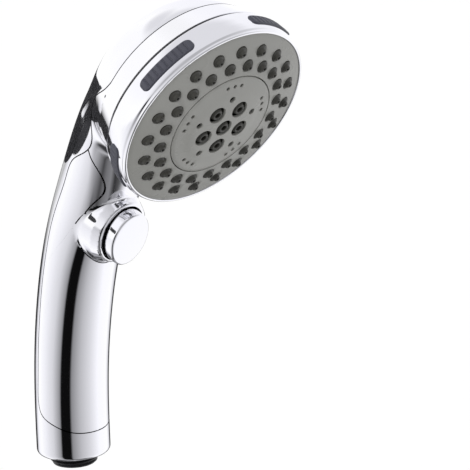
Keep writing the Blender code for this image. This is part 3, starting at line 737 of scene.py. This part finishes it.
def grip_pad(degrees):
    """A rubber pad with round ends and cross ribs, standing a little proud of the bezel's side."""
    half_length, half_width, corner = 13.4, 3.1, 2.7
    across, along = 22, 150
    rows = []
    for i in range(across + 1):
        v = -1 + 2 * i / across
        rows.append([])
        for j in range(along + 1):
            u = -1 + 2 * j / along
            x = u * half_length
            reach = half_width
            over = abs(x) - (half_length - corner)
            if over > 0:
                reach = half_width - corner + math.sqrt(max(corner ** 2 - over ** 2, 0.0))
            y = v * max(reach, 0.02)
            edge = min(half_length - abs(x), reach - abs(y))
            crown = 0.8 * (1 - math.exp(-max(edge, 0) * 3.2))
            rib = 0.5 + 0.5 * math.cos(2 * math.pi * x / 2.55)
            inside = min(max((edge - 0.55) / 0.5, 0), 1)
            rows[-1].append((x, y, crown - 0.52 * rib ** 3 * inside))
    made = bmesh.new()
    top = []
    for row in rows:
        line = []
        for x, y, lift in row:
            angle = math.radians(degrees) + x / 43.8
            h = -6.15 + y
            side = np.interp(h, (-12.3, -8.5, -5.0, -3.2, -1.5), (42.95, 43.55, 43.9, 43.92, 43.7))
            r = side + lift - 0.12
            line.append(made.verts.new(Vector((r * math.sin(angle), r * math.cos(angle), h)) * MM))
        top.append(line)
    for one, two in zip(top, top[1:]):
        for i in range(along):
            made.faces.new((one[i], one[i + 1], two[i + 1], two[i]))
    rim = [e for e in made.edges if e.is_boundary]
    result = bmesh.ops.extrude_edge_only(made, edges=rim)
    for v in [g for g in result["geom"] if isinstance(g, bmesh.types.BMVert)]:
        spread = math.hypot(v.co.x, v.co.y)
        v.co.x *= (spread - 0.0009) / spread
        v.co.y *= (spread - 0.0009) / spread
    bmesh.ops.remove_doubles(made, verts=made.verts, dist=0.000001)
    bmesh.ops.recalc_face_normals(made, faces=made.faces)
    mesh = bpy.data.meshes.new("grip")
    made.to_mesh(mesh)
    made.free()
    return mesh


def oval_loft(name, profile, sides=128):
    """A form on the button's axis from (depth, half width, half length) rows; a zero row closes it."""
    made = bmesh.new()
    rows = []
    for depth, width, length in profile:
        if width == 0:
            rows.append([made.verts.new(Vector((0, 0, -depth)) * MM)] * sides)
            continue
        angles = [2 * math.pi * i / sides for i in range(sides)]
        ring = [Vector((width * math.sin(a), length * math.cos(a), -depth)) * MM for a in angles]
        rows.append([made.verts.new(p) for p in ring])
    for one, two in zip(rows, rows[1:]):
        for i in range(sides):
            j = (i + 1) % sides
            corners = []
            for v in (one[i], one[j], two[j], two[i]):
                if v not in corners:
                    corners.append(v)
            if len(corners) > 2:
                made.faces.new(corners)
    if rows[0][0] != rows[0][1] and profile[0] == profile[-1]:
        bmesh.ops.remove_doubles(made, verts=made.verts, dist=0.0000005)
    bmesh.ops.recalc_face_normals(made, faces=made.faces)
    mesh = bpy.data.meshes.new(name)
    made.to_mesh(mesh)
    made.free()
    return mesh


def make_button():
    width, length, edge, wall = 9.8, 12.7, 1.1, 1.3
    parts = (0, 0.25, 0.5, 0.75, 0.92)
    crown = [(-0.35 * (1 - t * t), (width - edge) * t, (length - edge) * t) for t in parts]
    rim = []
    for a in np.linspace(0, math.pi / 2, 8):
        inset = edge * (1 - math.sin(a))
        rim.append((edge * (1 - math.cos(a)), width - inset, length - inset))
    skirt = [(10, width, length), (10, width - wall, length - wall),
             (2.4, width - wall, length - wall), (2.4, 0, 0)]
    cap = oval_loft("button_cap_skin", crown + rim + skirt)
    add_piece("button_cap_skin", cap, "pause_button", ["button_cap"], "chrome", BUTTON)
    sleeve = [(8.4, 10.15, 13.05), (8.2, 10.4, 13.3), (8.2, 11.0, 13.8), (8.6, 11.2, 14.0), (16, 11.2, 14.0),
              (16, 10.15, 13.05), (8.4, 10.15, 13.05)]
    add_piece("button_sleeve_skin", oval_loft("button_sleeve_skin", sleeve), "housing", ["button_sleeve"],
              "black_plastic", BUTTON)


def make_inlet():
    """The threaded inlet with a real helix, its shoulder, and its stepped bore."""
    pitch, crest, root = 1.814, 10.45, 9.3
    steps, rises = 160, 64
    made = bmesh.new()
    rows = []
    for z in np.linspace(0, 6.2, rises):
        row = []
        for i in range(steps):
            angle = 2 * math.pi * i / steps
            phase = (z / pitch - i / steps) % 1
            tooth = min(max((abs(phase - 0.5) * 2 - 0.12) / 0.76, 0), 1)
            depth = (crest - root) * tooth
            fade = min(max((z - 0.1) / 0.9, 0), 1) * min(max((5.3 - z) / 0.5, 0), 1)
            lead = min(z / 0.9, 1)
            r = (root + 0.1) + (crest - root - 0.1) * lead - depth * fade
            if z > 5.3:
                r = 9.5
            row.append(made.verts.new(Vector((r * math.cos(angle), r * math.sin(angle), z)) * MM))
        rows.append(row)
    shoulder = [(10.35, 6.3), (10.35, 9.5), (12.6, 9.5), (12.6, 12.5), (9.5, 12.5), (9.5, 30)]
    bore = [(6.6, 30), (6.6, 22), (5, 22), (5, 12), (8.0, 12), (8.1, 0.9), (8.35, 0.3), (8.6, 0.0)]
    for r, z in shoulder + bore:
        angles = [2 * math.pi * i / steps for i in range(steps)]
        rows.append([made.verts.new(Vector((r * math.cos(a), r * math.sin(a), z)) * MM) for a in angles])
    rows.append(rows[0])
    for one, two in zip(rows, rows[1:]):
        for i in range(steps):
            j = (i + 1) % steps
            made.faces.new((one[i], one[j], two[j], two[i]))
    bmesh.ops.recalc_face_normals(made, faces=made.faces)
    mesh = bpy.data.meshes.new("inlet_thread")
    made.to_mesh(mesh)
    made.free()
    add_piece("inlet_thread", mesh, "housing", ["inlet_connector"], "black_plastic", sharp_deg=50)


def paint_frame_nodes():
    """The nodes that stay as they are get the full finishes too."""
    slots = {row["node"]: row["material_slot"] for row in frame["record"]["subparts"]}
    for name, node in frame["nodes"].items():
        node.data.materials.clear()
        node.data.materials.append(FINISH[slots[name]])
        node.data.shade_smooth()


# ---------------------------------------------------------------- studio and camera
def make_studio():
    world = bpy.data.worlds.new("studio")
    bpy.context.scene.world = world
    world.use_nodes = True
    nodes = world.node_tree.nodes
    links = world.node_tree.links
    back = nodes["Background"]
    where = nodes.new("ShaderNodeTexCoord")
    to_camera = Vector((-0.674, -0.7386, 0))
    to_left = Vector((-0.7386, 0.674, 0))

    def along(direction):
        node = nodes.new("ShaderNodeVectorMath")
        node.operation = "DOT_PRODUCT"
        node.inputs[1].default_value = direction
        links.new(where.outputs["Generated"], node.inputs[0])
        return node.outputs["Value"]

    angle = nodes.new("ShaderNodeMath")
    angle.operation = "ARCTAN2"
    links.new(along(to_left), angle.inputs[0])
    links.new(along(to_camera), angle.inputs[1])
    turn = nodes.new("ShaderNodeMapRange")
    turn.inputs["From Min"].default_value = -math.pi
    turn.inputs["From Max"].default_value = math.pi
    links.new(angle.outputs["Value"], turn.inputs["Value"])

    def wall(stops):
        ramp = nodes.new("ShaderNodeValToRGB")
        for i, (degrees, value) in enumerate(stops):
            place = (degrees + 180) / 360
            element = ramp.color_ramp.elements[0] if i == 0 else ramp.color_ramp.elements.new(place)
            element.position = place
            element.color = (value, value, min(value * 1.04, 1), 1)
        last = ramp.color_ramp.elements[-1]
        last.position = 1
        last.color = ramp.color_ramp.elements[0].color
        links.new(turn.outputs["Result"], ramp.inputs["Fac"])
        return ramp.outputs["Color"]

    def rising(low, high):
        blend = nodes.new("ShaderNodeMapRange")
        blend.interpolation_type = "SMOOTHSTEP"
        blend.inputs["From Min"].default_value = low
        blend.inputs["From Max"].default_value = high
        links.new(height, blend.inputs["Value"])
        return blend.outputs["Result"]

    def mixed(factor, a, b):
        blend = nodes.new("ShaderNodeMix")
        blend.data_type = "RGBA"
        links.new(factor, blend.inputs["Factor"])
        for socket, value in (("A", a), ("B", b)):
            if isinstance(value, tuple):
                blend.inputs[socket].default_value = value
            else:
                links.new(value, blend.inputs[socket])
        return blend.outputs["Result"]

    height = along(Vector((0, 0, 1)))
    beneath = ((-180, 0.45), (-150, 0.18), (-128, 0.22), (-105, 0.4), (-84, 0.1), (-62, 0.03),
               (-42, 0.22), (-15, 0.16), (8, 0.06), (30, 0.2), (55, 0.42), (75, 0.3), (92, 0.05),
               (125, 0.03), (145, 0.2))
    low = ((-180, 0.03), (-160, 0.03), (-151, 0.7), (-135, 1.0), (-92, 0.96), (-60, 0.7),
           (-30, 0.5), (-2, 0.25), (4, 0.004), (31, 0.004), (36, 0.28), (60, 0.66), (90, 0.88),
           (112, 1.0), (128, 0.95), (139, 0.6), (146, 0.03))
    middle = ((-180, 1.0), (-100, 0.95), (-70, 0.36), (-45, 0.26), (0, 0.3), (14, 0.5), (35, 0.8),
              (60, 1.0), (150, 1.0))
    high = ((-180, 0.92), (-120, 0.88), (-90, 0.62), (-60, 0.46), (-15, 0.44), (15, 0.56),
            (45, 0.76), (62, 0.94), (150, 1.0))
    lower_half = mixed(rising(-0.9, -0.8), wall(beneath), wall(low))
    walls = mixed(rising(-0.21, -0.09), lower_half, mixed(rising(0.1, 0.4), wall(middle), wall(high)))
    sky = mixed(rising(0.7, 0.9), walls, (0.72, 0.72, 0.75, 1))
    ray = nodes.new("ShaderNodeLightPath")
    links.new(mixed(ray.outputs["Is Camera Ray"], sky, (0.93, 0.93, 0.93, 1)), back.inputs["Color"])
    back.inputs["Strength"].default_value = 1.08
    bpy.context.scene.view_settings.view_transform = "Standard"
    make_flag("neck_flag", ((36, 8, 184), (32, 14, 138), (-30, 2, 138), (-44, 0, 129), (-60, -14, 122),
                            (-64, -36, 118), (-64, -30, 126), (-46, 3, 144), (-34, -1, 155), (-19, -8, 163),
                            (-20, -11, 170), (-34, -15, 176), (-46, -18, 182), (-29, -13, 181)))

    floor = bpy.data.meshes.new("floor")
    size, level = 0.6, -0.3
    rim = [(size * math.cos(a), size * math.sin(a), level) for a in np.linspace(0, 2 * math.pi, 65)[:-1]]
    floor.from_pydata(rim, [], [tuple(range(len(rim)))])
    ground = bpy.data.objects.new("floor", floor)
    bpy.context.scene.collection.objects.link(ground)
    floor.materials.append(finish("pale_floor", (0.86, 0.86, 0.86), 0.6, 0.0, 0.01, 200.0, 0.02))
    ground.visible_glossy = False


def make_flag(name, corners):
    """A black studio card that only polished surfaces see."""
    mesh = bpy.data.meshes.new(name)
    points = [tuple(c * MM for c in corner) for corner in corners]
    mesh.from_pydata(points, [], [tuple(range(len(points)))])
    mesh.materials.append(finish(name, (0.03, 0.03, 0.032), 0.7, 0.0, 0.05, 200.0, 0.02))
    card = bpy.data.objects.new(name, mesh)
    card.visible_camera = False
    card.visible_diffuse = False
    card.visible_shadow = False
    bpy.context.scene.collection.objects.link(card)


def add_light(name, place, aim, size, power):
    light = bpy.data.lights.new(name, "AREA")
    light.shape = "RECTANGLE"
    light.size, light.size_y = size
    light.energy = power
    lamp = bpy.data.objects.new(name, light)
    lamp.location = place
    lamp.rotation_euler = (Vector(aim) - Vector(place)).to_track_quat("-Z", "Y").to_euler()
    lamp.visible_glossy = False
    bpy.context.scene.collection.objects.link(lamp)


def make_camera():
    camera = bpy.data.cameras.new("camera")
    camera.sensor_width = 36
    camera.lens = 2236 / 470 * 36
    camera.clip_start = 0.01
    camera.clip_end = 50
    seat = bpy.data.objects.new("camera", camera)
    right = Vector((0.73289, -0.67962, -0.03142))
    up = Vector((0.18988, 0.15998, 0.96869))
    back = Vector((-0.65331, -0.71590, 0.24630))
    turn = Matrix((right, up, back)).transposed()
    seat.matrix_world = Matrix.Translation(Vector((-0.5805, -0.7472, 0.3412))) @ turn.to_4x4()
    bpy.context.scene.collection.objects.link(seat)
    bpy.context.scene.camera = seat


paint_frame_nodes()
make_shells()
make_face()
make_centre()
make_bezel()
make_gap_shade_ring()
make_button()
make_inlet()
make_studio()
add_light("soft_key", (-1.3, -0.6, 1.1), (0, -0.05, 0.12), (0.9, 0.9), 14)
make_camera()
